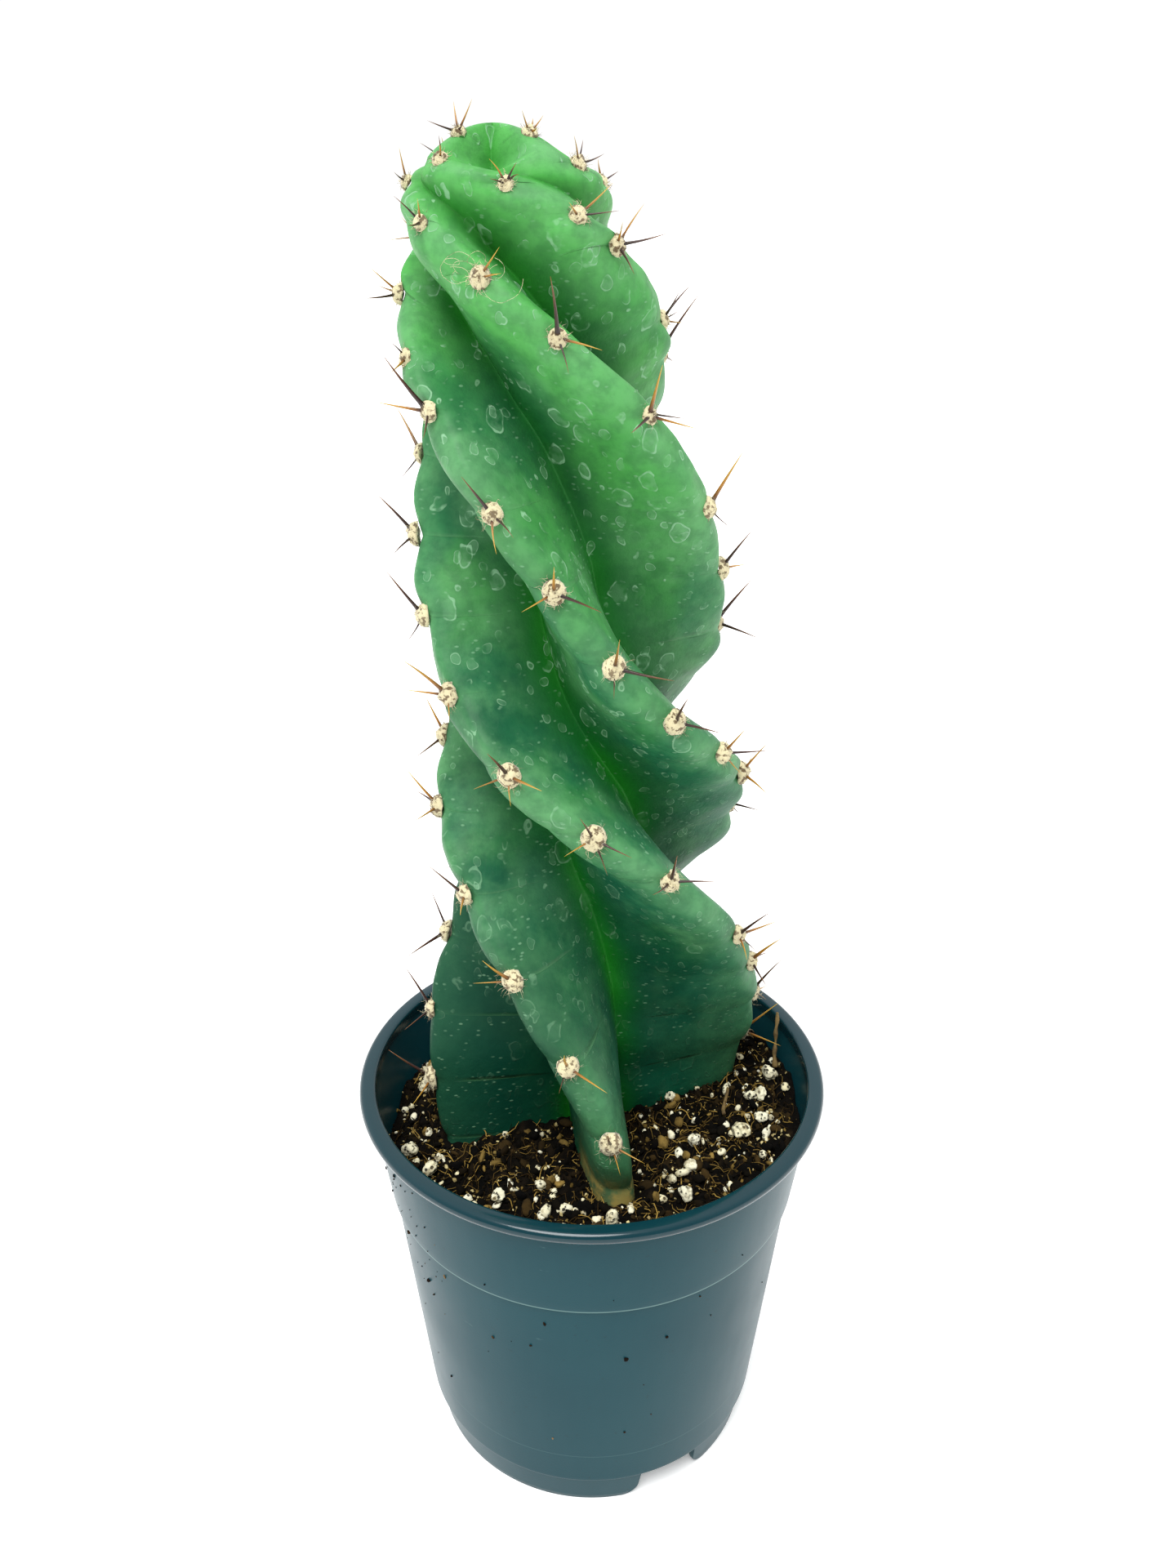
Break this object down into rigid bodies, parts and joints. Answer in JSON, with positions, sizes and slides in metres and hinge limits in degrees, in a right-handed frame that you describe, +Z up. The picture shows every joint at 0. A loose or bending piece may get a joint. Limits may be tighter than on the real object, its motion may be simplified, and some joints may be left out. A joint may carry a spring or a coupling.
{
  "type": "potted spiral cactus",
  "caption": "Twisted four-ribbed columnar cactus with woolly, spined areoles, growing in a round tapered plastic nursery pot of gritty potting mix.",
  "frame": {"origin": "on the pot's axis, at the surface that the pot's foot ring stands on", "axes": "+Z up along the pot's axis and the plant, -Y towards the front, +X to the viewer's right"},
  "size_m": [0.114, 0.114, 0.3129],
  "materials": {
    "pot_plastic": "satin dark teal",
    "potting_mix": "dark fibrous peat",
    "stem_skin": "waxy green with a pale bloom",
    "areole_wool_and_spines": "cream wool with red-brown to amber spines",
    "perlite": "porous white",
    "dry_straw": "dry brown"
  },
  "bodies": {
    "root": {"areole_a01": "areole_wool_and_spines", "areole_a02": "areole_wool_and_spines", "areole_a03": "areole_wool_and_spines", "areole_a04": "areole_wool_and_spines", "areole_a05": "areole_wool_and_spines", "areole_a06": "areole_wool_and_spines", "areole_a07": "areole_wool_and_spines", "areole_a08": "areole_wool_and_spines", "areole_a09": "areole_wool_and_spines", "areole_a10": "areole_wool_and_spines", "areole_a11": "areole_wool_and_spines", "areole_a12": "areole_wool_and_spines", "areole_b01": "areole_wool_and_spines", "areole_b02": "areole_wool_and_spines", "areole_b03": "areole_wool_and_spines", "areole_b04": "areole_wool_and_spines", "areole_b05": "areole_wool_and_spines", "areole_b06": "areole_wool_and_spines", "areole_b07": "areole_wool_and_spines", "areole_b08": "areole_wool_and_spines", "areole_b09": "areole_wool_and_spines", "areole_b10": "areole_wool_and_spines", "areole_b11": "areole_wool_and_spines", "areole_b12": "areole_wool_and_spines", "areole_b13": "areole_wool_and_spines", "areole_c01": "areole_wool_and_spines", "areole_c02": "areole_wool_and_spines", "areole_c03": "areole_wool_and_spines", "areole_c04": "areole_wool_and_spines", "areole_c05": "areole_wool_and_spines", "areole_c06": "areole_wool_and_spines", "areole_c07": "areole_wool_and_spines", "areole_c08": "areole_wool_and_spines", "areole_c09": "areole_wool_and_spines", "areole_c10": "areole_wool_and_spines", "areole_c11": "areole_wool_and_spines", "areole_c12": "areole_wool_and_spines", "areole_d01": "areole_wool_and_spines", "areole_d02": "areole_wool_and_spines", "areole_d03": "areole_wool_and_spines", "areole_d04": "areole_wool_and_spines", "areole_d05": "areole_wool_and_spines", "areole_d06": "areole_wool_and_spines", "areole_d07": "areole_wool_and_spines", "areole_d08": "areole_wool_and_spines", "areole_d09": "areole_wool_and_spines", "areole_d10": "areole_wool_and_spines", "areole_d11": "areole_wool_and_spines", "areole_d12": "areole_wool_and_spines", "areole_d13": "areole_wool_and_spines", "cactus_stem": "stem_skin", "perlite_1": "perlite", "perlite_2": "perlite", "perlite_3": "perlite", "perlite_4": "perlite", "pot": "pot_plastic", "potting_soil": "potting_mix", "straw_lying": "dry_straw", "straw_standing": "dry_straw"}
  },
  "joints": []
}
